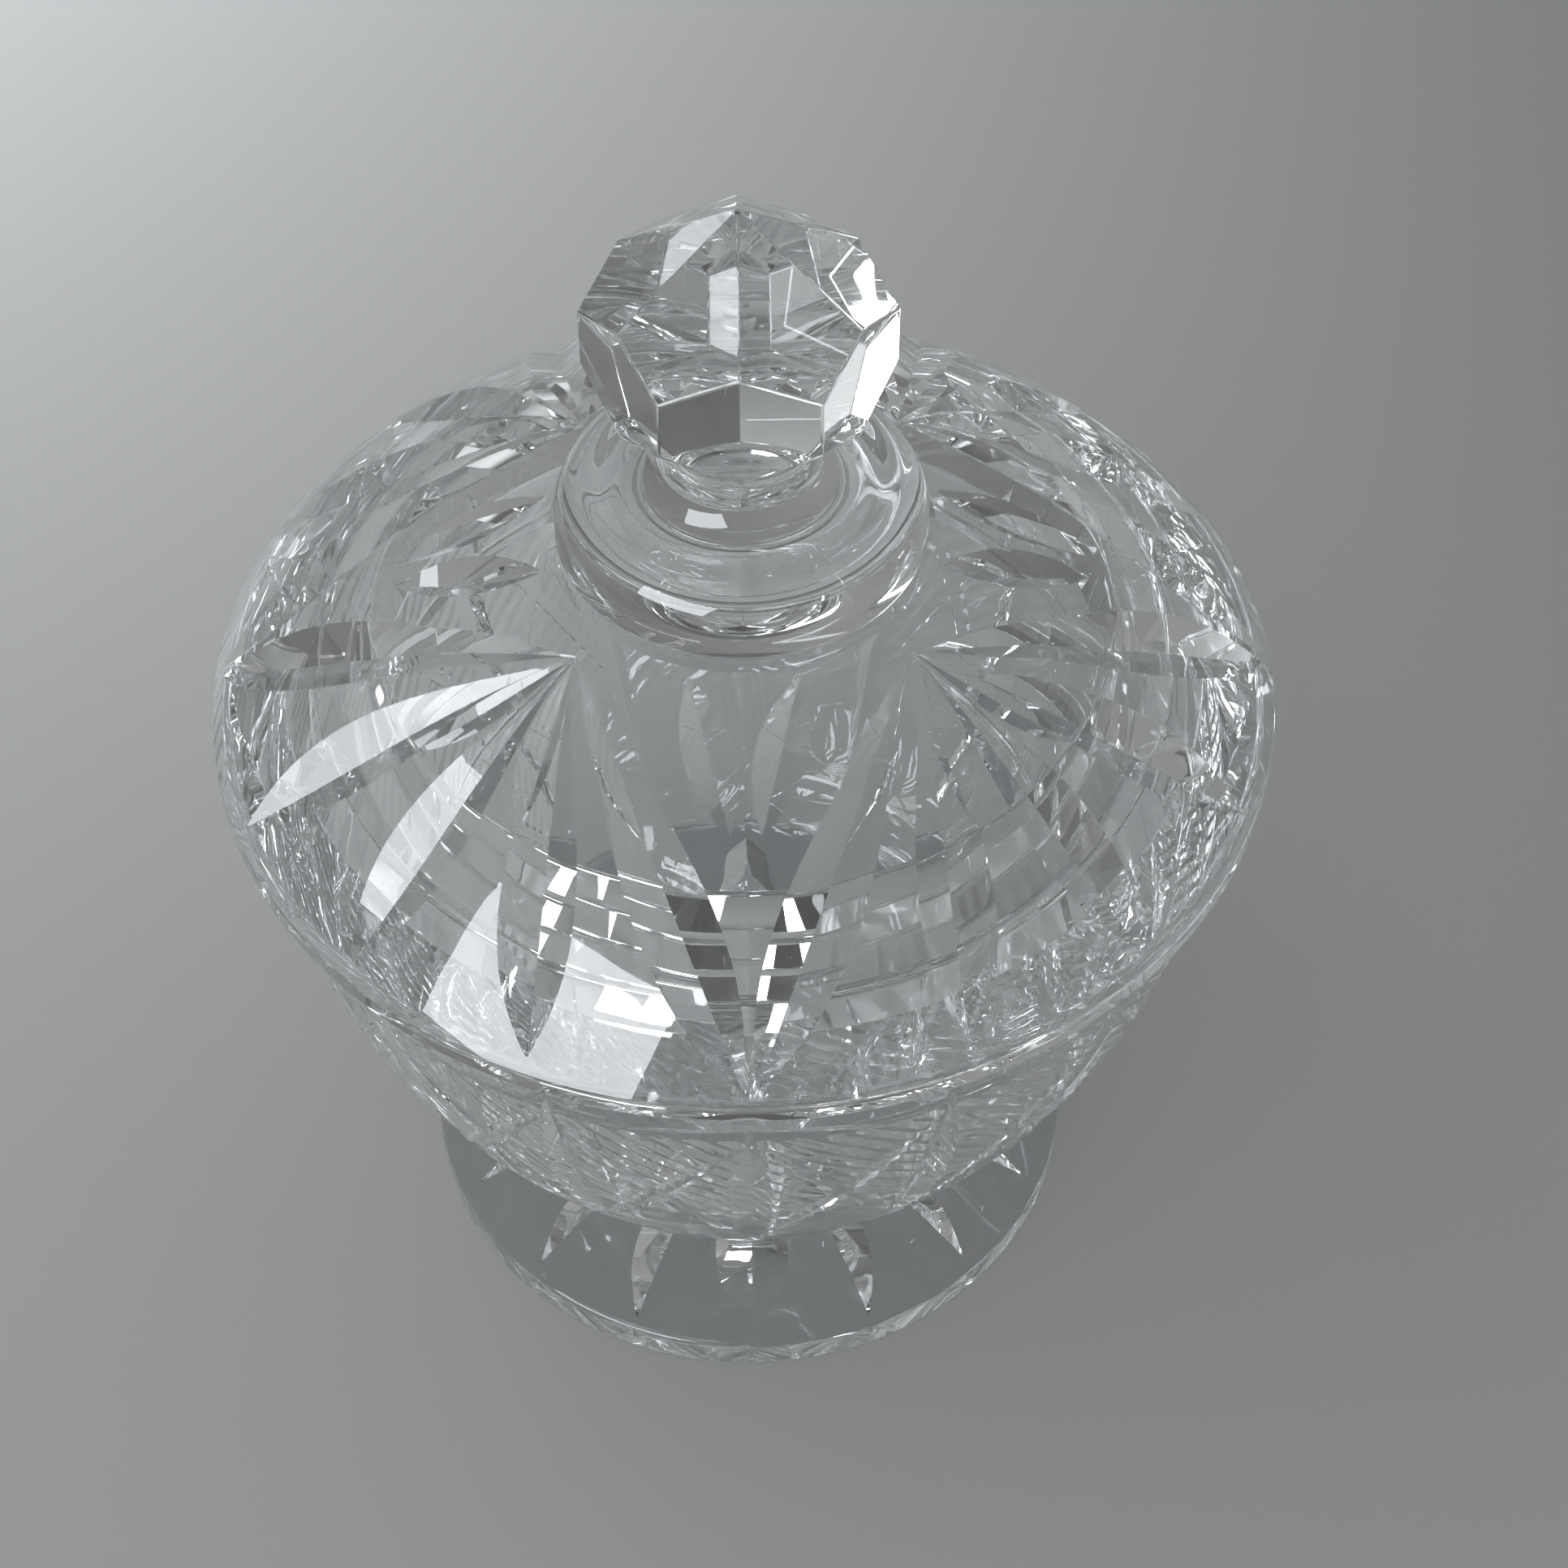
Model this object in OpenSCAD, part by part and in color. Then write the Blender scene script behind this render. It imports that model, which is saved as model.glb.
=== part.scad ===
// Footed cut-crystal powder jar with a domed lid that lifts off by its faceted finial.
// Origin: centre of the foot's underside. +Z up. Millimetres.

/* [Jar] */
// Height of the jar's flat rim above the table
jar_h = 73.6; // [62:0.2:90]
// Diameter of the foot
foot_d = 74.8; // [62:0.2:90]
// Thickness of the foot at its edge
foot_edge_h = 3.6; // [3:0.1:6]
// Rise of the foot's top from its edge to the stem's fillet
foot_rise = 1.2; // [0:0.1:3]
// Height of the joint between the stem and the bowl
stem_h = 13; // [11:0.5:18]
// Diameter of the stem at the joint
stem_d = 27; // [20:0.5:36]
// Radius where the bowl's side would meet the joint's plane
bowl_base_r = 27.5; // [22:0.5:32]
// Height of the centre of the bowl's side arc above the rim
side_up = 2; // [0:0.5:6]
// Radius of the turn under the bowl
bowl_turn_r = 14; // [8:0.5:16]
// Radius where the cavity's side would meet the floor's plane
cavity_base_r = 28; // [22:0.5:32]
// Glass under the bowl's cavity
bowl_floor_t = 8; // [6:0.5:12]
// Width of the bowl's flat ground rim
rim_w = 8.4; // [6.5:0.1:11]
// Radius of the turn inside the bowl
cavity_turn_r = 12; // [6:0.5:16]

/* [Lid] */
// Diameter of the lid over its edge
lid_d = 110; // [96:1:134]
// Rise of the dome above its edge
dome_rise = 23.7; // [19:0.1:29]
// Glass of the dome over the recess
dome_wall = 5.5; // [4.5:0.1:7]
// Height of the lid's plain edge
lid_edge_h = 2.2; // [1.6:0.1:4]
// Overhang of the lid past the bowl's rim
lid_overhang = 3.2; // [1:0.1:6]
// Depth of the locating ring under the lid
ring_depth = 5.5; // [3:0.1:9]
// Thickness of the locating ring
ring_t = 4; // [3:0.1:6]
// Radial play between the locating ring and the bowl's mouth
ring_play = 3.2; // [0.5:0.1:5]
// Gap between the lid's seat and the jar's rim
seat_gap = 0.2; // [0.1:0.05:0.5]

/* [Collar and finial] */
// Diameter of the collar under the finial
collar_d = 37; // [30:0.5:46]
// Height of the collar's upright side above its seat
collar_side_h = 3; // [1.5:0.1:5]
// Radius of the collar's rounded shoulder
collar_shoulder_r = 4.6; // [2:0.1:7]
// Height of the joint between the collar and the finial above the seat
collar_h = 14; // [11:0.2:17]
// Flat ledge on the dome round the collar
collar_ledge = 0.8; // [0.4:0.1:2]
// Diameter of the neck
neck_d = 15; // [12:0.2:18]
// Width of the finial across its upright flats
finial_af = 26; // [22:0.2:31]
// Height from the neck's joint to the finial's point
finial_h = 26.4; // [24:0.2:32]
// Slope of the facets that rise to the point, in degrees
crown_slope = 38.4; // [28:0.1:46]
// Slope of the facets that run down to the neck, in degrees
under_slope = 44; // [38:1:50]

/* [Cuts] */
// Fans of leaf cuts round the lid
fans = 4; // [3:1:5]
// Distance of each lid fan's heart from the axis
fan_heart_r = 22.8; // [20:0.2:28]
// Inset of the leaf tips from the lid's edge
tip_inset = 1.8; // [1:0.1:5]
// Greatest width of a long leaf cut
leaf_w = 7.4; // [4:0.1:9]
// Greatest width of a short leaf cut
short_w = 3.6; // [2:0.1:5]
// Inset of the short leaves' tips from the locating ring's outer wall
short_tip_inset = 1.5; // [0.5:0.1:4]
// Distance of the short leaves' starts from the fan's heart
short_start = 4.8; // [3:0.2:8]
// Greatest width of an arrow's cut, two of which meet between neighbouring fans
arrow_w = 4; // [2:0.1:5]
// Gap between the collar's ledge and the arrows' starts
arrow_start = 0.8; // [0.4:0.1:3]
// Inset of the arrows' points from the locating ring's outer wall
arrow_tip_inset = 4; // [2:0.1:8]
// Upright leaves round the bowl, and petals of the star under the foot
petals = 16; // [12:1:20]
// Height of the upright leaves' lower ends above the stem joint
upright_up = 6; // [4:0.5:12]
// Drop of the upright leaves' tips below the bowl's rim
upright_drop = 6; // [4:0.5:12]
// Height of the lattice's lower corners above the stem joint
lattice_up = 24; // [18:0.5:28]
// Drop of the lattice's upper corners below the bowl's rim
lattice_drop = 13; // [10:0.5:18]
// Greatest width of a lattice cut
lattice_w = 3.4; // [2:0.1:4]
// Greatest width of a petal
petal_w = 4.8; // [3:0.1:6]
// Depth of a petal
petal_depth = 1.6; // [0.8:0.1:2.4]
// Uncut radius in the middle of the star
star_eye_r = 12; // [8:0.5:16]
// Inset of the petals' tips from the foot's edge
petal_inset = 2.9; // [1.5:0.1:6]

/* [Hidden] */
$fn = 96;
// Larger than the whole jar
FAR = 400;
// Edge of the block that takes off one facet of the finial
BLOCK = 100;
// How far a tool runs past the face it cuts from
CLEAR = 1;
// How far a grinding wheel runs past both ends of a cut, and stands above its keel's depth
overrun = 2;
wheel_stand = 3;
// Distance from a fan's heart to the inner ends of its long leaves
heart_gap = 1.6;
// Angle that keeps neighbouring leaf tips apart
tip_gap = 0.35;
// Angles of an arrow's start and point from the line between two fans
arrow_start_az = 16;
arrow_tip_az = 3.5;

// Radii that fit one another
lid_r = lid_d / 2;
rim_r = lid_r - lid_overhang;
mouth_r = rim_r - rim_w;
ring_r = mouth_r - ring_play;
recess_r = ring_r - ring_t;
foot_r = foot_d / 2;
stem_r = stem_d / 2;
collar_r = collar_d / 2;
neck_r = neck_d / 2;

// Heights
seat_z = jar_h + seat_gap;
edge_z = seat_z + lid_edge_h;
dome_rho = (lid_r * lid_r + dome_rise * dome_rise) / (2 * dome_rise);
dome_z = edge_z + dome_rise - dome_rho;
collar_z = dome_z + sqrt(pow(dome_rho, 2) - pow(collar_r + collar_ledge, 2));
neck_z = collar_z + collar_h;
tip_z = neck_z + finial_h;

// The bowl's side is an arc whose centre lies a little above the rim
side_z = jar_h + side_up;
function side_x(r_top, r_low, z_low) =
    (pow(r_top, 2) - pow(r_low, 2) + pow(jar_h - side_z, 2) - pow(z_low - side_z, 2))
    / (2 * (r_top - r_low));
function side_rho(r_top, r_low, z_low) =
    norm([r_top - side_x(r_top, r_low, z_low), jar_h - side_z]);

floor_z = stem_h + bowl_floor_t;
out_x = side_x(rim_r, bowl_base_r, stem_h);
out_rho = side_rho(rim_r, bowl_base_r, stem_h);
in_x = side_x(mouth_r, cavity_base_r, floor_z);
in_rho = side_rho(mouth_r, cavity_base_r, floor_z);

function unit(v) = v / norm(v);
function polar(r, az, z) = [r * cos(az), r * sin(az), z];
function on_dome(r, az) = polar(r, az, dome_z + sqrt(pow(dome_rho, 2) - r * r));
function on_side(z, az) = polar(out_x + sqrt(pow(out_rho, 2) - pow(z - side_z, 2)), az, z);

// A cut is [a, b, out, width, depth]: a V groove whose straight keel runs from a to b and opens towards out
module groove(cut) {
    along = unit(cut[1] - cut[0]);
    side = unit(cross(cut[2], along));
    up = cross(along, side);
    start = cut[0] - overrun * along;
    rise = cut[4] + wheel_stand;
    flank = cut[3] / 2 / cut[4] * rise;
    multmatrix([[along.x, side.x, up.x, start.x],
                [along.y, side.y, up.y, start.y],
                [along.z, side.z, up.z, start.z],
                [0, 0, 0, 1]])
        rotate([90, 0, 90])
            linear_extrude(norm(cut[1] - cut[0]) + 2 * overrun)
                polygon([[0, 0], [flank, rise], [-flank, rise]]);
}

// The child with the first n cuts ground into it, one after another
module ground(cuts, n) {
    if (n == 0) children();
    else difference() {
        ground(cuts, n - 1) children();
        groove(cuts[n - 1]);
    }
}

// Leaf cuts on the dome: each fan has a long leaf to every tip and a short leaf between, and arrows
// point outwards between the fans
tip_r = lid_r - tip_inset;
short_tip_r = ring_r - short_tip_inset;
arrow_start_r = collar_r + collar_ledge + arrow_start;
arrow_tip_r = ring_r - arrow_tip_inset;
pitch = 360 / fans;
spread = pitch / 4;
function dome_cut(a, b, width) =
    let (mid = (a + b) / 2, out = mid - [0, 0, dome_z])
    [a, b, out, width, dome_rho - norm(out)];
function dome_leaf(az, j, r_end, start, width) =
    let (heart = on_dome(fan_heart_r, az),
         tip = on_dome(r_end, az + j * (spread - tip_gap)),
         from = heart + start * unit(tip - heart))
    dome_cut(on_dome(norm([from.x, from.y]), atan2(from.y, from.x)), tip, width);
dome_cuts = [
    for (k = [0:fans - 1], j = [-2:2])
        dome_leaf((k + 0.5) * pitch, j, tip_r, heart_gap, leaf_w),
    for (k = [0:fans - 1], j = [-1.5, -0.5, 0.5, 1.5])
        dome_leaf((k + 0.5) * pitch, j, short_tip_r, short_start, short_w),
    for (k = [0:fans - 1], side = [-1, 1])
        dome_cut(on_dome(arrow_start_r, k * pitch + side * arrow_start_az),
                 on_dome(arrow_tip_r, k * pitch + side * arrow_tip_az), arrow_w)
];

// Upright leaf cuts round the bowl, and slanted cuts that cross between them
function side_cut(z1, az1, z2, az2, width) =
    let (a = on_side(z1, az1), b = on_side(z2, az2),
         out = on_side((z1 + z2) / 2, (az1 + az2) / 2) - (a + b) / 2)
    [a, b, out, width, norm(out)];
step = 360 / petals;
lattice_low = stem_h + lattice_up;
lattice_high = jar_h - lattice_drop;
bowl_cuts = [
    for (k = [0:petals - 1])
        side_cut(stem_h + upright_up, k * step, jar_h - upright_drop, k * step, leaf_w),
    for (k = [0:petals - 1], way = [0, 1])
        side_cut(lattice_low, (k + way) * step, lattice_high, (k + 1 - way) * step, lattice_w)
];

// Petals of the star under the foot, each a groove that rises towards its tip
foot_cuts = [
    for (k = [0:petals - 1])
        let (az = k * step)
        [polar(foot_r - petal_inset, az, 0), polar(star_eye_r, az, petal_depth),
         [0, 0, -1], petal_w, petal_depth]
];

module foot_shape() {
    fillet = stem_h - foot_edge_h - foot_rise;
    polygon([[0, 0], [foot_r, 0], [foot_r, foot_edge_h],
             [stem_r + fillet, stem_h - fillet], [0, stem_h - fillet]]);
    difference() {
        square([stem_r + fillet, stem_h]);
        translate([stem_r + fillet, stem_h]) circle(fillet);
    }
}

module foot() {
    color("#dfe6ea")
    ground(foot_cuts, len(foot_cuts)) rotate_extrude() foot_shape();
}

// Outline of a bowl: a side arc that turns under through a smaller arc
module bowl_shape(cx, rho, turn, low_z, top_z) {
    turn_z = low_z + turn;
    turn_x = cx + sqrt(pow(rho - turn, 2) - pow(side_z - turn_z, 2));
    join_z = side_z - (side_z - turn_z) * rho / (rho - turn);
    intersection() {
        translate([cx, side_z]) circle(rho);
        translate([0, join_z]) square([FAR, top_z - join_z]);
    }
    intersection() {
        union() {
            translate([turn_x, turn_z]) circle(turn);
            translate([0, low_z]) square([turn_x, turn]);
        }
        square([FAR, join_z]);
    }
}

module bowl() {
    color("#e6ecef")
    ground(bowl_cuts, len(bowl_cuts)) difference() {
        rotate_extrude() bowl_shape(out_x, out_rho, bowl_turn_r, stem_h, jar_h);
        rotate_extrude() bowl_shape(in_x, in_rho, cavity_turn_r, floor_z, jar_h + CLEAR);
    }
}

module lid_dome() {
    color("#e9eef1")
    ground(dome_cuts, len(dome_cuts)) difference() {
        union() {
            rotate_extrude() intersection() {
                translate([0, dome_z]) circle(dome_rho);
                translate([0, seat_z]) square([lid_r, collar_z - seat_z]);
            }
            translate([0, 0, seat_z - ring_depth]) cylinder(ring_depth + CLEAR, r = ring_r);
        }
        rotate_extrude() intersection() {
            translate([0, dome_z]) circle(dome_rho - dome_wall);
            translate([0, seat_z - ring_depth - CLEAR]) square([recess_r, FAR]);
        }
    }
}

module lid_collar() {
    shoulder_z = collar_z + collar_side_h;
    flare = collar_h - collar_side_h - collar_shoulder_r;
    color("#eef2f4")
    rotate_extrude() {
        translate([0, collar_z]) square([collar_r, collar_side_h]);
        translate([collar_r - collar_shoulder_r, shoulder_z]) intersection() {
            circle(collar_shoulder_r);
            square(FAR);
        }
        translate([0, collar_z]) square([collar_r - collar_shoulder_r, collar_side_h + collar_shoulder_r]);
        translate([0, collar_z]) difference() {
            square([neck_r + flare, collar_h]);
            translate([neck_r + flare, collar_h]) circle(flare);
        }
    }
}

module finial() {
    half_af = finial_af / 2;
    corner_r = half_af / cos(30);
    color("#f2f5f6")
    difference() {
        translate([0, 0, neck_z]) cylinder(finial_h, r = corner_r, $fn = 6);
        for (k = [0:5]) rotate([0, 0, 60 * k]) {
            translate([0, 0, tip_z]) rotate([0, crown_slope, 0])
                translate([-BLOCK / 2, -BLOCK / 2, 0]) cube(BLOCK);
            translate([neck_r * cos(30), 0, neck_z]) rotate([0, 90 - under_slope, 0])
                translate([0, -BLOCK / 2, -BLOCK / 2]) cube(BLOCK);
        }
    }
}

bowl();
foot();
lid_dome();
lid_collar();
finial();
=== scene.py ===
"""Footed powder jar of cut lead crystal, with a domed lid that lifts off by its faceted finial."""
from math import acos, asin, atan2, cos, hypot, pi, radians, sin, sqrt, tan

import bpy
from bpy.props import FloatProperty, FloatVectorProperty, IntProperty, PointerProperty
from mathutils import Matrix, Vector


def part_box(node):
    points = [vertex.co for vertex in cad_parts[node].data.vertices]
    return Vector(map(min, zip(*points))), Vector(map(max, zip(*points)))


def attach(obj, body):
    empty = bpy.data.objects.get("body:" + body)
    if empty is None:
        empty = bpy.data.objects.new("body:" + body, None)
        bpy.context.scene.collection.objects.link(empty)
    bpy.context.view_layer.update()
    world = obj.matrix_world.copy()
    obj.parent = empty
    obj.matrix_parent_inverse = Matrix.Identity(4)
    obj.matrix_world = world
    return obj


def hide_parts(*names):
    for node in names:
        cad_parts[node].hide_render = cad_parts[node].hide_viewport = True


bl_info = {
    "name": "Cut-crystal powder jar",
    "version": (1, 0, 0),
    "blender": (4, 5, 0),
    "location": "View3D > Sidebar > Powder jar",
    "description": "Models a footed powder jar of cut lead crystal and its domed lid",
    "category": "Object",
}

MM = 0.001
TURN = 2 * pi
QUARTER = pi / 2
# Steps of a blank round the axis, and of the long curves of its outline
COLUMNS = 192
OUTSIDE_STEPS = (48, 12)
INSIDE_STEPS = (24, 10)
RECESS_STEPS = 20
DOME_STEPS = 34
# Where a cut is widest, as a share of its length
LONG_PEAK = 0.65
SHORT_PEAK = 0.6
ARROW_PEAK = 0.5
UPRIGHT_PEAK = 0.62
LATTICE_PEAK = 0.5
PETAL_PEAK = 0.5

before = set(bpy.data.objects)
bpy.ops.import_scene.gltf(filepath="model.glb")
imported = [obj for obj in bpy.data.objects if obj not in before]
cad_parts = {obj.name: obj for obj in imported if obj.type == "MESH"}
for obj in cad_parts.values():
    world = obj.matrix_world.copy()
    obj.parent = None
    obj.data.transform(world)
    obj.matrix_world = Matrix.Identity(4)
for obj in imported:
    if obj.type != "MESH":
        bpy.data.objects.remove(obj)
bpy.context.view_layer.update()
bowl_low, bowl_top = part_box("bowl")
foot_low, foot_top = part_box("foot")
dome_low, dome_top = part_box("lid_dome")
collar_low, collar_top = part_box("lid_collar")
finial_low, finial_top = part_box("finial")


def length(name, description, default):
    """A size in metres, given in millimetres."""
    return FloatProperty(
        name=name, description=description, default=default * MM, unit="LENGTH", precision=4)


def angle(name, description, default):
    """An angle, given in degrees."""
    return FloatProperty(name=name, description=description, default=radians(default), subtype="ANGLE")


def ratio(name, description, default):
    """A share of another size."""
    return FloatProperty(name=name, description=description, default=default, min=0, max=2)


def watts(name, description, default):
    """A lamp's power in watts."""
    return FloatProperty(name=name, description=description, default=default, min=0, unit="POWER")


def colour(name, description, default):
    """A colour that a user may change."""
    return FloatVectorProperty(
        name=name, description=description, default=default, subtype="COLOR", min=0, max=1)


class JarSizes(bpy.types.PropertyGroup):
    """Sizes of the bowl, the stem and the foot."""

    foot_edge_h: length("Foot edge", "Thickness of the foot at its edge", 3.6)
    foot_rise: length("Foot rise", "Rise of the foot's top from its edge to the stem's fillet", 1.2)
    stem_r: length("Stem radius", "Radius of the stem where it meets the bowl", 13.5)
    base_r: length("Bowl base", "Radius where the bowl's side would meet the stem joint's plane", 27.5)
    side_up: length("Side centre", "Height of the centre of the side's arc above the rim", 2)
    turn_r: length("Under turn", "Radius of the turn under the bowl", 14)
    floor_t: length("Floor", "Glass under the bowl's cavity", 8)
    rim_w: length("Rim", "Width of the bowl's flat ground rim", 8.4)
    cavity_base_r: length("Cavity base", "Radius where the cavity's side would meet the floor's plane", 28)
    cavity_turn_r: length("Cavity turn", "Radius of the turn inside the bowl", 12)
    rim_ease: length("Rim edges", "Radius of the polished edges of the rim and the foot", 0.7)


class LidSizes(bpy.types.PropertyGroup):
    """Sizes of the dome, its locating ring, the collar and the finial."""

    seat_gap: length("Seat gap", "Gap between the lid's seat and the jar's rim", 0.2)
    edge_h: length("Edge", "Height of the lid's plain edge", 2.2)
    rise: length("Rise", "Rise of the dome above its edge", 23.7)
    wall: length("Wall", "Glass of the dome over the recess", 5.5)
    ring_play: length("Ring play", "Play between the locating ring and the bowl's mouth", 3.2)
    ring_t: length("Ring", "Thickness of the locating ring", 4)
    edge_ease: length("Edges", "Radius of the lid's polished edges", 0.5)
    collar_side_h: length("Collar side", "Height of the collar's upright side", 3)
    collar_low_r: length("Collar underside", "Radius of the collar's lower edge", 1.3)
    shoulder_r: length("Collar shoulder", "Radius of the collar's rounded shoulder", 4.6)
    neck_r: length("Neck", "Radius of the neck under the finial", 7.5)
    crown_slope: angle("Crown", "Slope of the finial's facets that rise to its point", 38.4)
    under_slope: angle("Under facets", "Slope of the finial's facets that run down to the neck", 44)
    facet_ease: length("Facet edges", "Width of the polished edges between the finial's facets", 0.22)


class CutSizes(bpy.types.PropertyGroup):
    """Sizes of the wheel cuts."""

    fans: IntProperty(name="Fans", description="Fans of leaves round the lid", default=4, min=3, max=6)
    heart_r: length("Fan heart", "Distance of a fan's heart from the axis", 22.8)
    tip_inset: length("Tip inset", "Inset of the leaf tips from the lid's edge", 1.3)
    leaf_w: length("Leaf width", "Greatest width of a long leaf", 8)
    tip_gap: angle("Tip gap", "Angle by which the leaf tips of two fans stay apart", 0.4)
    short_w: length("Short leaf width", "Greatest width of a short leaf", 4.4)
    short_inset: length("Short tip inset", "Inset of the short leaves' tips from the locating ring", 1.5)
    arrow_w: length("Arrow width", "Greatest width of the two cuts that meet between the fans", 5.2)
    arrow_root: ratio("Arrow root", "Distance of their roots from the axis, over the lid's radius", 0.37)
    arrow_tip: ratio("Arrow tip", "Distance of their tips from the axis, over the lid's radius", 0.63)
    arrow_root_az: angle("Arrow root angle", "Angle of their roots from the middle between the fans", 15)
    arrow_tip_az: angle("Arrow tip angle", "Angle of their tips from the middle between the fans", 2.5)
    arrow_steep: ratio("Arrow steepness", "Slope of their flanks over that of a leaf's", 1.25)
    valley: angle("Valley", "Slope of a leaf's flanks from the surface round it", 24)
    upright_w: length("Upright width", "Greatest width of the bowl's upright leaves", 5)
    upright_end: length("Upright ends", "Distance of their ends from the rim and from the stem joint", 6)
    lattice_w: length("Lattice width", "Greatest width of the slanted cuts between them", 2)
    lattice_up: length("Lattice foot", "Height of the slanted cuts above the stem joint", 20)
    lattice_drop: length("Lattice head", "Distance of the slanted cuts from the rim", 9)
    diamond_depth: length("Diamond depth", "Depth of the fine diamonds round the bowl", 0.22)
    diamond_up: length("Diamond foot", "Height of the diamonds above the stem joint", 18)
    diamond_drop: length("Diamond head", "Distance of the diamonds from the rim", 8)
    petals: IntProperty(name="Petals", description="Leaves round the bowl, and petals under the foot",
                        default=16, min=8, max=24)
    petal_w: length("Petal width", "Greatest width of a petal", 8.4)
    petal_depth: length("Petal depth", "Greatest depth of a petal", 3.0)
    petal_inset: length("Petal inset", "Inset of the petals' tips from the foot's edge", 2.9)
    star_eye_r: length("Star eye", "Uncut radius in the middle of the star", 12)


class GlassLook(bpy.types.PropertyGroup):
    """The finish of the crystal."""

    clear: colour("Clear glass", "Colour of the glass", (0.985, 0.992, 0.99))
    cast: colour("Glass cast", "Faint cast where the glass is drawn thick", (0.955, 0.968, 0.972))
    passed: colour("Light let through", "Share of a lamp's light that each surface lets through",
                   (0.985, 0.987, 0.988))
    ior: FloatProperty(name="IOR", description="Index of refraction of lead crystal", default=1.545,
                       min=1.4, max=1.8)


class StageLook(bpy.types.PropertyGroup):
    """The floor, the lights and the camera."""

    floor: colour("Floor", "Colour of the floor", (0.52, 0.52, 0.512))
    room: colour("Room", "Colour of the light from all round", (0.225, 0.228, 0.23))
    one_sided: ratio("One-sided", "How much brighter the room's left is", 0.6)
    shade: ratio("Shade", "How much darker the room is behind the camera", 0.62)
    daylight: colour("Daylight", "Colour of the lamps", (0.94, 0.97, 1.0))
    window: watts("Window", "Power of the window that the glass mirrors", 10.0)
    day: watts("Day", "Power of the soft daylight on the near floor", 1.0)
    skylight: watts("Skylight", "Power of the skylight on the far left of the floor", 1.25)
    floor_gap: length("Floor gap", "Air between the floor and the foot's underside", 0.3)
    aim_up: length("Aim", "Height above the rim of the point that the camera circles", 2.2)
    distance: length("Distance", "Distance of the camera from the lid's middle", 338)
    sight: angle("Sight", "Elevation of the camera above the lid's middle", 47.61)
    tilt: angle("Tilt", "Slope of the camera below the level", 49.55)
    pan: angle("Pan", "Turn of the camera towards +X", 1.05)
    lens: FloatProperty(name="Lens", description="Focal length of the camera in millimetres", default=74.53)


# ------------------------------------------------------------------------------ outlines and turned blanks


def arc(centre, radius, start, end, steps):
    """Points of an arc in the plane of radius and height, both ends included."""
    return [
        (centre[0] + radius * cos(start + (end - start) * i / steps),
         centre[1] + radius * sin(start + (end - start) * i / steps))
        for i in range(steps + 1)
    ]


def eased(before, corner, after, radius, steps=8):
    """A polished edge: the arc that replaces a corner between two straight stretches."""
    corner = Vector(corner)
    back, on = (Vector(before) - corner).normalized(), (Vector(after) - corner).normalized()
    half = acos(max(-1, min(1, back.dot(on)))) / 2
    centre = corner + (back + on).normalized() * radius / sin(half)
    reach = radius / tan(half)
    first, last = corner + back * reach - centre, corner + on * reach - centre
    start = atan2(first.y, first.x)
    sweep = (atan2(last.y, last.x) - start + pi) % TURN - pi
    return arc(centre, radius, start, start + sweep, steps)


def side_circle(top_r, top_z, low_r, low_z, centre_z):
    """Centre radius and arc radius of a bowl's side through two points, from its centre's height."""
    x = (top_r**2 - low_r**2 + (top_z - centre_z) ** 2 - (low_z - centre_z) ** 2) / (2 * (top_r - low_r))
    return x, hypot(top_r - x, top_z - centre_z)


def side_and_turn(circle, centre_z, turn, low_z, top_z, side_steps, turn_steps):
    """Points from a bowl's low middle, out through its turn and up its side."""
    x, rho = circle
    turn_z = low_z + turn
    turn_x = x + sqrt((rho - turn) ** 2 - (centre_z - turn_z) ** 2)
    meet = atan2(turn_z - centre_z, turn_x - x)
    top = asin((top_z - centre_z) / rho)
    return (
        arc((turn_x, turn_z), turn, -QUARTER, meet, turn_steps)
        + arc((x, centre_z), rho, meet, top, side_steps)[1:]
    )


def deselect():
    """Object mode, with nothing selected."""
    if bpy.context.object and bpy.context.object.mode != "OBJECT":
        bpy.ops.object.mode_set(mode="OBJECT")
    bpy.ops.object.select_all(action="DESELECT")


def pick(piece):
    """Makes one object the only selected and the active one."""
    deselect()
    piece.select_set(True)
    bpy.context.view_layer.objects.active = piece


def select(mesh, points=(), faces=()):
    """Selects these points or faces of a mesh in object mode, and nothing else."""
    for group, wanted in ((mesh.vertices, set(points)), (mesh.edges, set()), (mesh.polygons, set(faces))):
        for part in group:
            part.select = part.index in wanted
    for i in faces:
        for k in mesh.polygons[i].vertices:
            mesh.vertices[k].select = True


def turned(name, outline, steps):
    """A blank spun about the jar's axis from its outline, which is drawn point by point."""
    deselect()
    start = Vector((outline[0][0], 0, outline[0][1]))
    bpy.ops.mesh.primitive_plane_add(size=MM, enter_editmode=True, location=(0, 0, 0))
    piece = bpy.context.object
    piece.name = name
    bpy.ops.mesh.merge(type="CENTER")
    bpy.ops.transform.translate(value=start)
    for (r0, z0), (r1, z1) in zip(outline, outline[1:]):
        bpy.ops.mesh.extrude_vertices_move(TRANSFORM_OT_translate={"value": (r1 - r0, 0, z1 - z0)})
    bpy.ops.mesh.select_all(action="SELECT")
    bpy.ops.mesh.spin(steps=steps, angle=TURN, center=(0, 0, 0), axis=(0, 0, 1), use_auto_merge=True)
    bpy.ops.mesh.select_all(action="SELECT")
    bpy.ops.mesh.remove_doubles(threshold=0.005 * MM)
    bpy.ops.mesh.normals_make_consistent(inside=False)
    bpy.ops.object.mode_set(mode="OBJECT")
    return piece


# ------------------------------------------------------------------------------ wheel cuts


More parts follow.
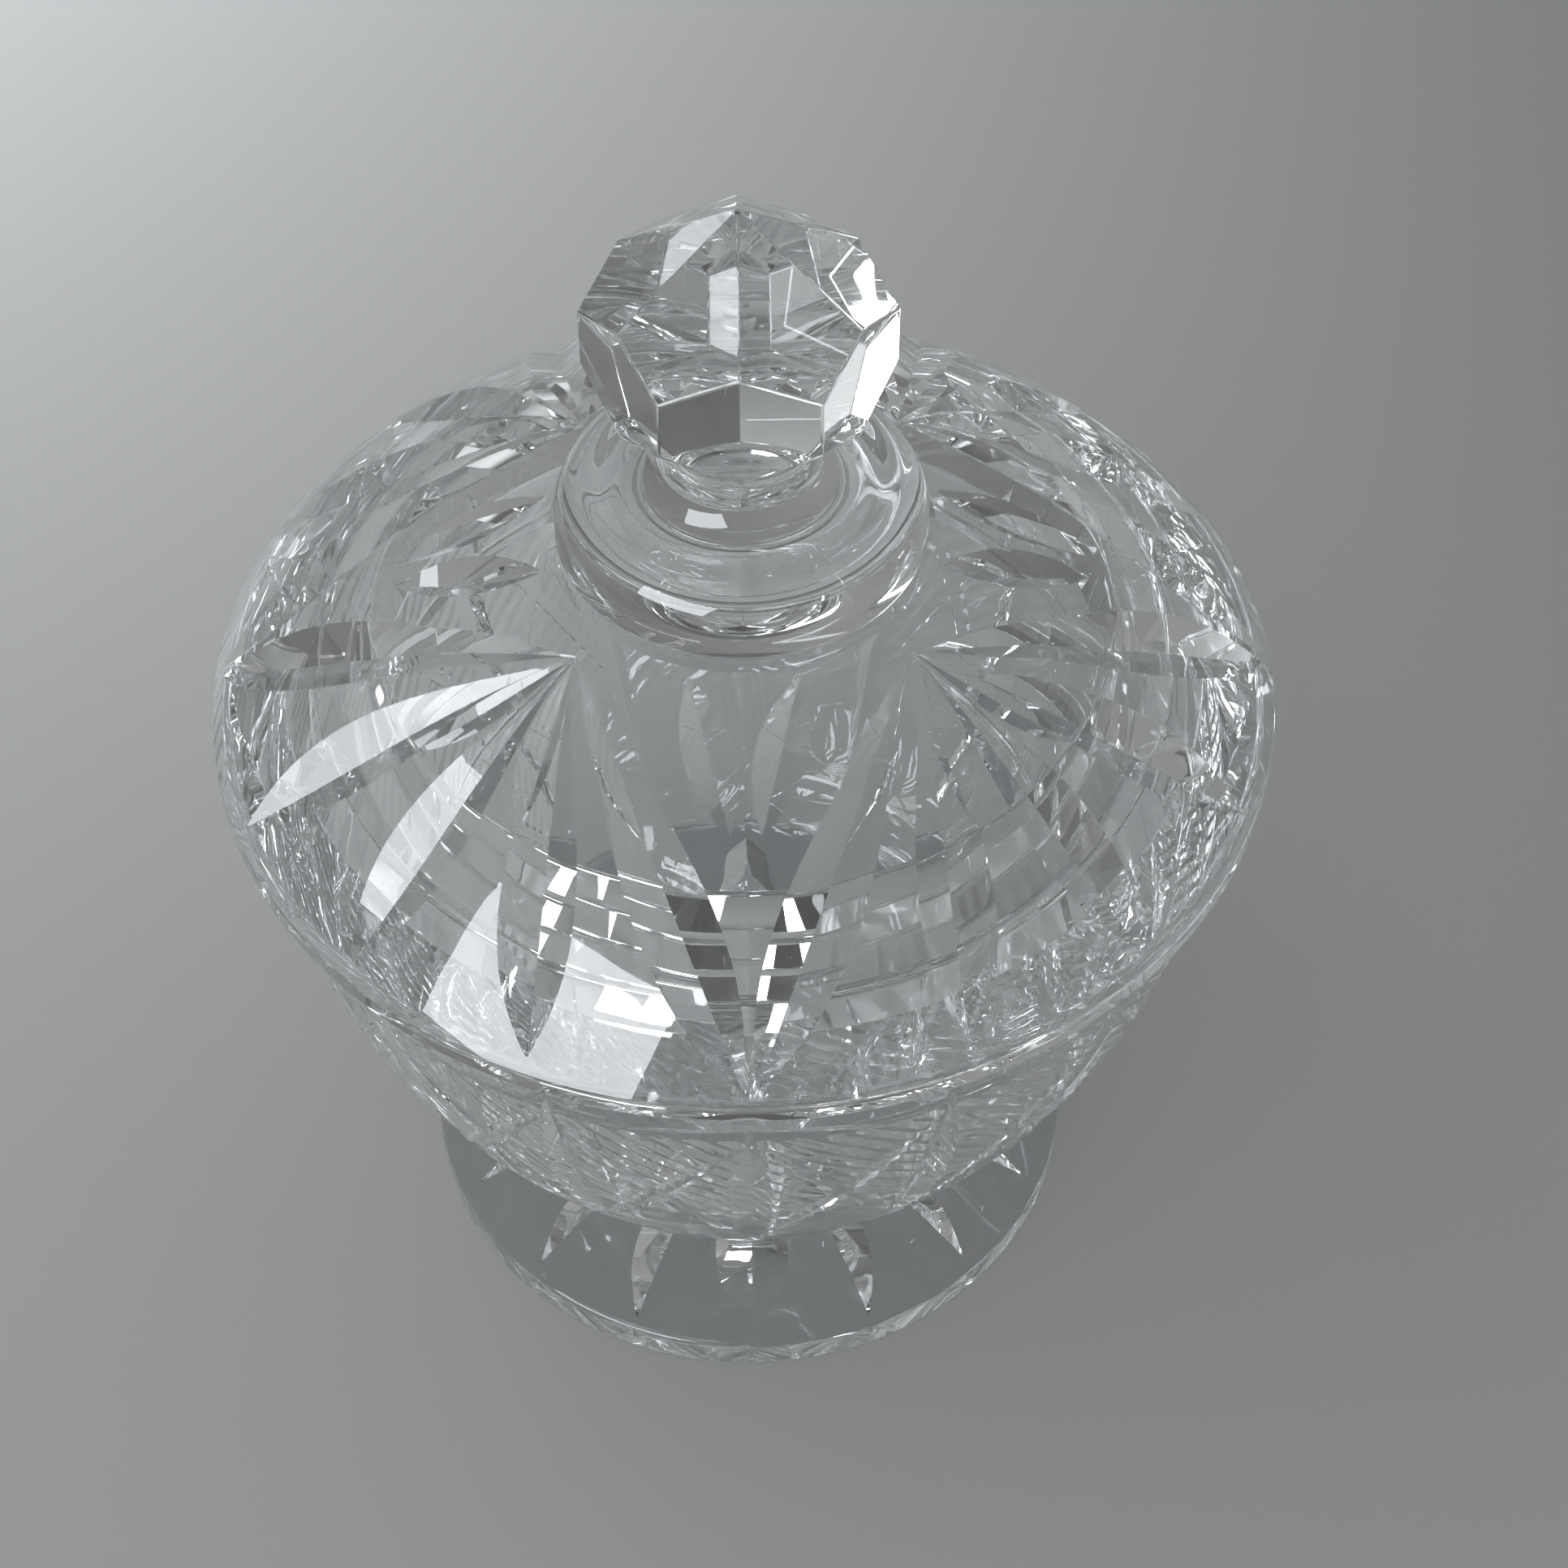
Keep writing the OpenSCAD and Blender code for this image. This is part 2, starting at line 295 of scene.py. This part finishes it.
def leaf_share(t, peak):
    """Width of a leaf at t from its heart to its tip, as a share of its greatest width."""
    grow = peak / (1 - peak)
    return max(t, 0) ** grow * (1 - t) / (peak**grow * (1 - peak))


def valley_tool(name, a, b, surface, out, width, slope, peak, steps=14, least=0.04):
    """A V-shaped tool for one leaf from a to b, where surface(t) is the glass at t and out is up."""
    along = (b - a).normalized()
    side = out.cross(along).normalized()
    up = along.cross(side)
    depth = width / 2 * tan(slope)
    deselect()
    bpy.ops.mesh.primitive_circle_add(vertices=3, radius=MM, fill_type="NGON", enter_editmode=True)
    tool = bpy.context.object
    tool.name = name
    corners = tool.data
    bpy.ops.object.mode_set(mode="OBJECT")
    for vertex, (y, z) in zip(corners.vertices, ((0, -depth), (width, depth), (-width, depth))):
        vertex.co = (0, y, z)
    bpy.ops.object.mode_set(mode="EDIT")
    bpy.ops.mesh.select_all(action="SELECT")
    place = Vector((0, 0, 0))
    share = 1
    for i in range(steps + 1):
        t = i / steps
        p = surface(t) - a
        spot = Vector((p.dot(along), 0, p.dot(up)))
        size = max(leaf_share(t, peak), least)
        step = spot - place
        if i:
            bpy.ops.mesh.extrude_region_move(TRANSFORM_OT_translate={"value": step})
        else:
            bpy.ops.transform.translate(value=step)
        bpy.ops.transform.resize(value=(1, size / share, size / share), center_override=spot)
        place, share = spot, size
    bpy.ops.mesh.select_all(action="SELECT")
    bpy.ops.mesh.normals_make_consistent(inside=False)
    bpy.ops.object.mode_set(mode="OBJECT")
    tool.matrix_world = Matrix.Translation(a) @ Matrix((along, side, up)).transposed().to_4x4()
    return tool


def repeated(tools, count):
    """The tools copied round the axis, each copy with its own mesh."""
    made = list(tools)
    for k in range(1, count):
        turn = Matrix.Rotation(TURN * k / count, 4, "Z")
        for tool in tools:
            copy = tool.copy()
            copy.data = tool.data.copy()
            bpy.context.scene.collection.objects.link(copy)
            copy.matrix_world = turn @ tool.matrix_world
            made.append(copy)
    return made


def ground(piece, tools):
    """Grinds the tools out of the piece and clears them away."""
    shelf = bpy.data.collections.new("tools")
    bpy.context.scene.collection.children.link(shelf)
    for tool in tools:
        for home in list(tool.users_collection):
            home.objects.unlink(tool)
        shelf.objects.link(tool)
    pick(piece)
    cut = piece.modifiers.new("cuts", "BOOLEAN")
    cut.operation, cut.solver = "DIFFERENCE", "EXACT"
    cut.operand_type, cut.collection = "COLLECTION", shelf
    bpy.ops.object.modifier_apply(modifier=cut.name)
    for tool in tools:
        bpy.data.meshes.remove(tool.data)
    bpy.data.collections.remove(shelf)


def fused(piece, other):
    """Hot-joins another piece to this one."""
    pick(piece)
    join = piece.modifiers.new("join", "BOOLEAN")
    join.operation, join.solver, join.object = "UNION", "EXACT", other
    bpy.ops.object.modifier_apply(modifier=join.name)
    bpy.data.meshes.remove(other.data)


def polished(piece, sharp=12):
    """Clean shading: smooth over the curves, crisp at every cut's edge."""
    pick(piece)
    bpy.ops.object.mode_set(mode="EDIT")
    bpy.ops.mesh.select_all(action="SELECT")
    bpy.ops.mesh.remove_doubles(threshold=0.002 * MM)
    bpy.ops.object.mode_set(mode="OBJECT")
    bpy.ops.object.shade_smooth_by_angle(angle=radians(sharp))
    weigh = piece.modifiers.new("weigh", "WEIGHTED_NORMAL")
    weigh.keep_sharp, weigh.weight = True, 50
    bpy.ops.object.modifier_apply(modifier=weigh.name)
    return piece


# ------------------------------------------------------------------------------ materials


class Socket:
    """One output of a node tree. Maths on it adds Math nodes, and node() adds any other node."""

    def __init__(self, tree, output=None):
        self.tree, self.output = tree, output

    def node(self, kind, settings, inputs, output=0):
        """Adds a node, sets it, fills its sockets with values or links, and returns one output."""
        made = self.tree.nodes.new(kind)
        for key, value in settings.items():
            setattr(made, key, value)
        for key, value in inputs.items():
            if isinstance(value, Socket):
                self.tree.links.new(value.output, made.inputs[key])
            else:
                made.inputs[key].default_value = value
        return Socket(self.tree, made.outputs[output] if made.outputs else None)

    def maths(self, operation, *values):
        """Adds a Math node."""
        return self.node("ShaderNodeMath", {"operation": operation}, dict(enumerate(values)))

    def __mul__(self, other):
        return self.maths("MULTIPLY", self, other)

    def __rmul__(self, other):
        return self.maths("MULTIPLY", other, self)

    def __sub__(self, other):
        return self.maths("SUBTRACT", self, other)

    def __rsub__(self, other):
        return self.maths("SUBTRACT", other, self)


def empty_tree(owner):
    """The node tree of a material or a world, cleared, as a Socket that leads nowhere yet."""
    owner.use_nodes = True
    owner.node_tree.nodes.clear()
    return Socket(owner.node_tree)


def crystal(look):
    """Clear lead crystal: faint drawn cords in the glass, and a thin film of handling on its polish."""
    material = bpy.data.materials.get("cut_crystal")
    if material:
        return material
    material = bpy.data.materials.new("cut_crystal")
    tree = empty_tree(material)
    place = tree.node("ShaderNodeTexCoord", {}, {}, "Object")
    cords = tree.node("ShaderNodeTexNoise", {"noise_dimensions": "3D"},
                      {"Vector": place, "Scale": 55.0, "Detail": 2.0, "Distortion": 0.6}, 0)
    film = tree.node("ShaderNodeTexNoise", {"noise_dimensions": "3D"},
                     {"Vector": place, "Scale": 130.0, "Detail": 4.0}, 0)
    body = tree.node("ShaderNodeMix", {"data_type": "RGBA"},
                     {0: cords * 0.8, 6: (*look.clear, 1), 7: (*look.cast, 1)}, 2)
    smear = tree.node("ShaderNodeMapRange", {},
                      {"Value": film, "From Min": 0.45, "From Max": 0.75, "To Min": 0.0, "To Max": 1.0})
    wave = tree.node("ShaderNodeBump", {},
                     {"Strength": 0.12, "Distance": 0.2 * MM, "Height": cords})
    glass = tree.node("ShaderNodeBsdfPrincipled", {},
                      {"Base Color": body, "Roughness": smear * 0.03, "IOR": look.ior,
                       "Transmission Weight": 1.0, "Normal": wave})
    lamp_ray = tree.node("ShaderNodeLightPath", {}, {}, "Is Shadow Ray")
    passed = tree.node("ShaderNodeBsdfTransparent", {}, {"Color": (*look.passed, 1)})
    surface = tree.node("ShaderNodeMixShader", {}, {0: lamp_ray, 1: glass, 2: passed})
    tree.node("ShaderNodeOutputMaterial", {}, {"Surface": surface})
    return material


def backdrop_material(look):
    """A plain pale matt floor with a barely visible grain."""
    material = bpy.data.materials.new("pale_floor")
    tree = empty_tree(material)
    place = tree.node("ShaderNodeTexCoord", {}, {}, "Object")
    grain = tree.node("ShaderNodeTexNoise", {}, {"Vector": place, "Scale": 900.0, "Detail": 2.0}, 0)
    shade = tree.node("ShaderNodeMix", {"data_type": "RGBA"},
                      {0: grain * 0.3, 6: (*look.floor, 1), 7: (*(0.94 * c for c in look.floor), 1)}, 2)
    cloth = tree.node("ShaderNodeBsdfPrincipled", {}, {"Base Color": shade, "Roughness": 0.9})
    tree.node("ShaderNodeOutputMaterial", {}, {"Surface": cloth})
    return material


def settings(context):
    """The scene's sizes and looks."""
    return context.scene.powder_jar


def delivered(piece, material, body, *nodes):
    """Gives the piece its finish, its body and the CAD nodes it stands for."""
    piece.data.materials.clear()
    piece.data.materials.append(material)
    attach(piece, body)
    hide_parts(*nodes)
    return piece


# ------------------------------------------------------------------------------ the two pieces of glass


class POWDERJAR_OT_jar(bpy.types.Operator):
    """Models the jar: the bowl, hot-joined to its footed stem, with the cuts of its side and its star"""

    bl_idname = "powderjar.jar"
    bl_label = "Jar"
    bl_options = {"REGISTER", "UNDO"}

    def execute(self, context):
        all_sizes = settings(context)
        size, cuts = all_sizes.jar, all_sizes.cuts
        piece = turned("jar_glass", self.outline(size), COLUMNS)
        self.fine_diamonds(piece, size, cuts)
        ground(piece, self.side_tools(size, cuts) + self.star_tools(cuts))
        delivered(polished(piece), crystal(all_sizes.glass), "jar", "bowl", "foot")
        return {"FINISHED"}

    def side(self, size):
        """The arc of the bowl's side: the radius and the height of its centre, and its own radius."""
        centre_z = bowl_top.z + size.side_up
        x, rho = side_circle(bowl_top.x, bowl_top.z, size.base_r, bowl_low.z, centre_z)
        return x, centre_z, rho

    def outline(self, size):
        """From the middle of the underside, out round the foot, up the bowl and down into its cavity."""
        rim_r, rim_z, joint_z, foot_r = bowl_top.x, bowl_top.z, bowl_low.z, foot_top.x
        x, centre_z, rho = self.side(size)
        fillet = joint_z - size.foot_edge_h - size.foot_rise
        fillet_end = (size.stem_r + fillet, joint_z - fillet)
        underside, edge_low, edge_top = (0, 0), (foot_r, 0), (foot_r, size.foot_edge_h)
        floor_z = joint_z + size.floor_t
        inner = side_circle(rim_r - size.rim_w, rim_z, size.cavity_base_r, floor_z, centre_z)
        outside = side_and_turn((x, rho), centre_z, size.turn_r, joint_z, rim_z, *OUTSIDE_STEPS)
        inside = side_and_turn(inner, centre_z, size.cavity_turn_r, floor_z, rim_z, *INSIDE_STEPS)
        ease = size.rim_ease
        rim_out, rim_in = outside[-1], inside[-1]
        return (
            [(foot_r * part, 0) for part in (0, 0.3, 0.6, 0.8)]
            + eased(underside, edge_low, edge_top, 0.4 * ease)
            + eased(edge_low, edge_top, fillet_end, ease)
            + arc((size.stem_r + fillet, joint_z), fillet, -QUARTER, -pi, 8)
            + [p for p in outside if p[0] > size.stem_r + 0.2 * MM and p[1] < rim_z - ease]
            + eased(outside[-3], rim_out, rim_in, ease)
            + eased(rim_out, rim_in, inside[-3], ease)
            + [p for p in reversed(inside) if p[1] < rim_z - ease]
            + [(0, floor_z)]
        )

    def fine_diamonds(self, piece, size, cuts):
        """Fine diamonds round the bowl's side: every other point of its grid is pressed in."""
        x, centre_z, rho = self.side(size)
        low, high = bowl_low.z + cuts.diamond_up, bowl_top.z - cuts.diamond_drop
        mesh = piece.data
        pick(piece)
        rows = {}
        for vertex in mesh.vertices:
            point = vertex.co
            off = abs(hypot(hypot(point.x, point.y) - x, point.z - centre_z) - rho)
            if off < 0.02 * MM and low < point.z < high:
                rows.setdefault(round(point.z / MM, 1), []).append(vertex)
        inner = set()
        for row, height in enumerate(sorted(rows)):
            for vertex in rows[height]:
                column = round(atan2(vertex.co.y, vertex.co.x) * COLUMNS / TURN)
                if (row + column) % 2:
                    inner.add(vertex.index)
        band = {vertex.index for row in rows.values() for vertex in row}
        select(mesh, points=inner)
        bpy.ops.object.mode_set(mode="EDIT")
        bpy.ops.transform.shrink_fatten(value=-cuts.diamond_depth)
        bpy.ops.object.mode_set(mode="OBJECT")
        for first, method in ((True, "FIXED"), (False, "FIXED_ALTERNATE")):
            quads = [face.index for face in mesh.polygons
                     if len(face.vertices) == 4 and all(i in band for i in face.vertices)
                     and (face.vertices[0] in inner) == first]
            select(mesh, faces=quads)
            bpy.ops.object.mode_set(mode="EDIT")
            bpy.ops.mesh.select_mode(type="FACE")
            bpy.ops.mesh.quads_convert_to_tris(quad_method=method)
            bpy.ops.mesh.select_mode(type="VERT")
            bpy.ops.object.mode_set(mode="OBJECT")

    def side_tools(self, size, cuts):
        """The upright leaves and the crossing cuts between them."""
        rim_z, joint_z = bowl_top.z, bowl_low.z
        x, centre_z, rho = self.side(size)

        def on_side(z, az):
            r = x + sqrt(rho**2 - (z - centre_z) ** 2)
            return Vector((r * cos(az), r * sin(az), z))

        def side_leaf(name, low, az_low, high, az_high, width, peak):
            def surface(t):
                return on_side(low + (high - low) * t, az_low + (az_high - az_low) * t)

            a, b = surface(0), surface(1)
            out = surface(0.5) - (a + b) / 2
            return valley_tool(name, a, b, surface, out, width, cuts.valley, peak, 12)

        pitch = TURN / cuts.petals
        low, high = joint_z + cuts.upright_end, rim_z - cuts.upright_end
        tools = [side_leaf("upright", low, 0, high, 0, cuts.upright_w, UPRIGHT_PEAK)]
        low, high = joint_z + cuts.lattice_up, rim_z - cuts.lattice_drop
        for name, first, last in (("rising", 0, pitch), ("falling", pitch, 0)):
            tools.append(side_leaf(name, low, first, high, last, cuts.lattice_w, LATTICE_PEAK))
        return repeated(tools, cuts.petals)

    def star_tools(self, cuts):
        """The petals of the star, ground up into the foot from below."""
        root, tip = cuts.star_eye_r, foot_top.x - cuts.petal_inset
        a, b = Vector((tip, 0, 0)), Vector((root, 0, 0))

        def surface(t):
            return a + (b - a) * t

        slope = atan2(cuts.petal_depth, cuts.petal_w / 2)
        down = Vector((0, 0, -1))
        tool = valley_tool("petal", a, b, surface, down, cuts.petal_w, slope, PETAL_PEAK, 10)
        return repeated([tool], cuts.petals)


class POWDERJAR_OT_lid(bpy.types.Operator):
    """Models the lid: the dome with its locating ring, the collar and the finial, hot-joined and cut"""

    bl_idname = "powderjar.lid"
    bl_label = "Lid"
    bl_options = {"REGISTER", "UNDO"}

    def execute(self, context):
        all_sizes = settings(context)
        jar, size, cuts = all_sizes.jar, all_sizes.lid, all_sizes.cuts
        edge_z = bowl_top.z + size.seat_gap + size.edge_h
        lid_r = dome_top.x
        self.rho = (lid_r**2 + size.rise**2) / (2 * size.rise)
        self.centre_z = edge_z + size.rise - self.rho
        self.ring_r = bowl_top.x - jar.rim_w - size.ring_play
        piece = turned("lid_glass", self.outline(size), COLUMNS)
        ground(piece, self.leaf_tools(cuts))
        fused(piece, self.finial(size))
        delivered(polished(piece), crystal(all_sizes.glass), "lid", "lid_dome", "lid_collar", "finial")
        return {"FINISHED"}

    def outline(self, size):
        """From the recess's crown, round the locating ring and the edge, up the dome and the collar."""
        lid_r, seat_z, low_z = dome_top.x, bowl_top.z + size.seat_gap, dome_low.z
        edge_z, ease = seat_z + size.edge_h, size.edge_ease
        recess_r, inner = self.ring_r - size.ring_t, self.rho - size.wall
        ledge_z, ledge_r = dome_top.z, sqrt(self.rho**2 - (dome_top.z - self.centre_z) ** 2)
        collar_r, neck_z = collar_top.x, collar_top.z
        shoulder_z = ledge_z + size.collar_side_h
        flare = neck_z - shoulder_z - size.shoulder_r
        recess = arc((0, self.centre_z), inner, QUARTER, acos(recess_r / inner), RECESS_STEPS)
        dome = arc((0, self.centre_z), self.rho, acos(lid_r / self.rho), acos(ledge_r / self.rho),
                   DOME_STEPS)
        corners = [recess[-1], (recess_r, low_z), (self.ring_r, low_z), (self.ring_r, seat_z),
                   (lid_r, seat_z), (lid_r, edge_z)]
        points = recess[:-1] + eased(recess[-3], recess[-1], corners[1], ease)
        for i in range(1, 4):
            points += eased(corners[i - 1], corners[i], corners[i + 1], ease)
        points += eased(corners[3], corners[4], corners[5], 0.6 * ease)
        points += eased(corners[4], corners[5], dome[2], ease)
        points += [p for p in dome if p[1] > edge_z + ease]
        points += arc((collar_r - size.collar_low_r, ledge_z + size.collar_low_r), size.collar_low_r,
                      -QUARTER, 0, 8)
        points += arc((collar_r - size.shoulder_r, shoulder_z), size.shoulder_r, 0, QUARTER, 12)
        points += arc((size.neck_r + flare, neck_z), flare, -QUARTER, -pi, 12)
        points += [(0, neck_z)]
        return points

    def leaf_tools(self, cuts):
        """The fans of long and short leaves, and the pairs of cuts between the fans."""
        lid_r = dome_top.x

        def on_dome(r, az):
            return Vector((r * cos(az), r * sin(az), self.centre_z + sqrt(self.rho**2 - r * r)))

        def leaf(name, a, b, width, peak, slope):
            centre = Vector((0, 0, self.centre_z))

            def surface(t):
                return centre + (a.lerp(b, t) - centre).normalized() * self.rho

            return valley_tool(name, a, b, surface, a.lerp(b, 0.5) - centre, width, slope, peak)

        pitch = TURN / cuts.fans
        middle = pitch / 2
        spread = pitch / 4 - cuts.tip_gap
        heart = on_dome(cuts.heart_r, middle)
        tools = []
        for j in range(-2, 3):
            tip = on_dome(lid_r - cuts.tip_inset, middle + j * spread)
            tools.append(leaf("long_leaf", heart, tip, cuts.leaf_w, LONG_PEAK, cuts.valley))
        for j in (-1.5, -0.5, 0.5, 1.5):
            tip = on_dome(self.ring_r - cuts.short_inset, middle + j * spread)
            tools.append(leaf("short_leaf", heart, tip, cuts.short_w, SHORT_PEAK, cuts.valley))
        steep = cuts.arrow_steep * cuts.valley
        for side in (-1, 1):
            root = on_dome(cuts.arrow_root * lid_r, side * cuts.arrow_root_az)
            tip = on_dome(cuts.arrow_tip * lid_r, side * cuts.arrow_tip_az)
            tools.append(leaf("arrow", root, tip, cuts.arrow_w, ARROW_PEAK, steep))
        return repeated(tools, cuts.fans)

    def finial(self, size):
        """The finial: a six-sided rod with facets ground up to its point and down to its neck."""
        neck_z, tip_z, corner_r = finial_low.z, finial_top.z, finial_top.x
        root = 2 * MM
        deselect()
        bpy.ops.mesh.primitive_cylinder_add(
            vertices=6, radius=corner_r, depth=tip_z - neck_z + root, end_fill_type="NGON",
            enter_editmode=True, location=(0, 0, (tip_z + neck_z - root) / 2), rotation=(0, 0, pi / 6))
        piece = bpy.context.object
        piece.name = "finial_blank"
        for k in range(6):
            az = pi / 3 * k
            out = Vector((cos(az), sin(az), 0))
            crown = out * sin(size.crown_slope) + Vector((0, 0, cos(size.crown_slope)))
            under = out * sin(size.under_slope) - Vector((0, 0, cos(size.under_slope)))
            foot = out * size.neck_r * cos(pi / 6)
            for point, normal in ((Vector((0, 0, tip_z)), crown), (foot + Vector((0, 0, neck_z)), under)):
                bpy.ops.mesh.select_all(action="SELECT")
                bpy.ops.mesh.bisect(plane_co=point, plane_no=normal, use_fill=True, clear_outer=True)
        bpy.ops.mesh.select_all(action="SELECT")
        bpy.ops.mesh.remove_doubles(threshold=0.01 * MM)
        bpy.ops.mesh.normals_make_consistent(inside=False)
        bpy.ops.object.mode_set(mode="OBJECT")
        bpy.ops.object.transform_apply(location=True, rotation=True, scale=True)
        ease = piece.modifiers.new("ease", "BEVEL")
        ease.width, ease.segments = size.facet_ease, 2
        ease.limit_method, ease.angle_limit = "ANGLE", radians(15)
        bpy.ops.object.modifier_apply(modifier=ease.name)
        return piece


# ------------------------------------------------------------------------------ stage


class POWDERJAR_OT_stage(bpy.types.Operator):
    """Sets the floor, the lights and the camera"""

    bl_idname = "powderjar.stage"
    bl_label = "Stage"
    bl_options = {"REGISTER", "UNDO"}

    def execute(self, context):
        look = settings(context).stage
        self.floor(look)
        self.lights(look)
        self.camera(context, look)
        return {"FINISHED"}

    def floor(self, look):
        deselect()
        bpy.ops.mesh.primitive_circle_add(vertices=96, radius=4, fill_type="NGON",
                                          location=(0, 0, -look.floor_gap))
        floor = bpy.context.object
        floor.name = "floor"
        floor.data.materials.append(backdrop_material(look))

    def lights(self, look):
        """A window for the glass to mirror, two soft lamps for the floor, and the room."""
        middle = Vector((0, 0, bowl_top.z))
        near, far_left = Vector((-0.09, -0.27, 0)), Vector((-0.29, 0.36, 0))
        for name, azimuth, elevation, distance, size, power, spread, aim in (
            ("window", -132, 37, 1.1, (0.72, 0.46), look.window, 180, middle),
            ("day", -105, 48, 0.9, (0.45, 0.45), look.day, 84, near),
            ("skylight", 142, 50, 1.0, (0.35, 0.35), look.skylight, 47, far_left),
        ):
            level, rise = radians(azimuth), radians(elevation)
            place = middle + distance * Vector((cos(rise) * cos(level), cos(rise) * sin(level), sin(rise)))
            facing = (aim - place).to_track_quat("-Z", "Y").to_euler()
            deselect()
            bpy.ops.object.light_add(type="AREA", location=place, rotation=facing)
            light = bpy.context.object
            light.name = name
            light.data.shape, light.data.size, light.data.size_y = "RECTANGLE", *size
            light.data.energy, light.data.color = power, look.daylight
            light.data.spread = radians(spread)
            mirrored = name == "window"
            light.visible_glossy = light.visible_transmission = mirrored
            light.visible_diffuse = not mirrored
        bpy.context.scene.world = self.room(look)

    def room(self, look):
        """The room all round: brighter on the left, and dark behind the camera."""
        world = bpy.data.worlds.new("room")
        tree = empty_tree(world)
        sight = tree.node("ShaderNodeTexCoord", {}, {}, "Generated")
        rightward = tree.node("ShaderNodeVectorMath", {"operation": "DOT_PRODUCT"},
                              {0: sight, 1: (1, 0, 0)}, 1)
        backward = tree.node("ShaderNodeVectorMath", {"operation": "DOT_PRODUCT"},
                             {0: sight, 1: (0, -cos(look.sight), sin(look.sight))}, 1)
        shade = tree.node("ShaderNodeMapRange", {"interpolation_type": "SMOOTHSTEP"},
                          {"Value": backward, "From Min": 0.62, "From Max": 0.95,
                           "To Min": 0.0, "To Max": look.shade})
        strength = (1 - rightward * look.one_sided) * (1 - shade)
        light = tree.node("ShaderNodeBackground", {}, {"Color": (*look.room, 1), "Strength": strength})
        tree.node("ShaderNodeOutputWorld", {}, {"Surface": light})
        return world

    def camera(self, context, look):
        """The camera looks down on the lid at the sight's elevation."""
        aim = Vector((0, 0, bowl_top.z + look.aim_up))
        place = aim + look.distance * Vector((0, -cos(look.sight), sin(look.sight)))
        deselect()
        bpy.ops.object.camera_add(location=place, rotation=(QUARTER - look.tilt, 0, -look.pan))
        camera = bpy.context.object
        camera.name = "camera"
        camera.data.sensor_width = 36
        camera.data.lens = look.lens
        camera.data.clip_start, camera.data.clip_end = 0.01, 50
        context.scene.camera = camera
        context.scene.view_settings.view_transform = "Standard"
        paths = context.scene.cycles
        paths.max_bounces = paths.glossy_bounces = 32
        paths.transmission_bounces = paths.transparent_max_bounces = 32
        paths.caustics_reflective = paths.caustics_refractive = False


# ------------------------------------------------------------------------------ add-on


class PowderJar(bpy.types.PropertyGroup):
    """All the sizes and looks of the powder jar."""

    jar: PointerProperty(type=JarSizes, name="Jar", description="Sizes of the jar")
    lid: PointerProperty(type=LidSizes, name="Lid", description="Sizes of the lid")
    cuts: PointerProperty(type=CutSizes, name="Cuts", description="Sizes of the wheel cuts")
    glass: PointerProperty(type=GlassLook, name="Glass", description="The finish of the crystal")
    stage: PointerProperty(type=StageLook, name="Stage", description="The floor, the lights and the camera")


class POWDERJAR_PT_panel(bpy.types.Panel):
    """Lists the pieces and their sizes in the sidebar"""

    bl_idname = "POWDERJAR_PT_panel"
    bl_label = "Powder jar"
    bl_space_type = "VIEW_3D"
    bl_region_type = "UI"
    bl_category = "Powder jar"

    def draw(self, context):
        for title, group, operator in (
            ("Jar", "jar", "powderjar.jar"),
            ("Lid", "lid", "powderjar.lid"),
            ("Cuts", "cuts", None),
            ("Glass", "glass", None),
            ("Stage", "stage", "powderjar.stage"),
        ):
            box = self.layout.box()
            box.label(text=title)
            values = getattr(settings(context), group)
            for name in values.bl_rna.properties.keys():
                if name not in ("rna_type", "name"):
                    box.prop(values, name)
            if operator:
                box.operator(operator)


CLASSES = (
    JarSizes, LidSizes, CutSizes, GlassLook, StageLook, PowderJar,
    POWDERJAR_OT_jar, POWDERJAR_OT_lid, POWDERJAR_OT_stage, POWDERJAR_PT_panel,
)


def register():
    """Registers the classes and hangs the settings on the scene."""
    for cls in CLASSES:
        bpy.utils.register_class(cls)
    bpy.types.Scene.powder_jar = PointerProperty(type=PowderJar)


def unregister():
    """Takes the settings and the classes away."""
    del bpy.types.Scene.powder_jar
    for cls in reversed(CLASSES):
        bpy.utils.unregister_class(cls)


def main():
    """Models both pieces of glass and the stage."""
    register()
    bpy.ops.powderjar.stage()
    bpy.ops.powderjar.jar()
    bpy.ops.powderjar.lid()


if __name__ == "__main__":
    main()
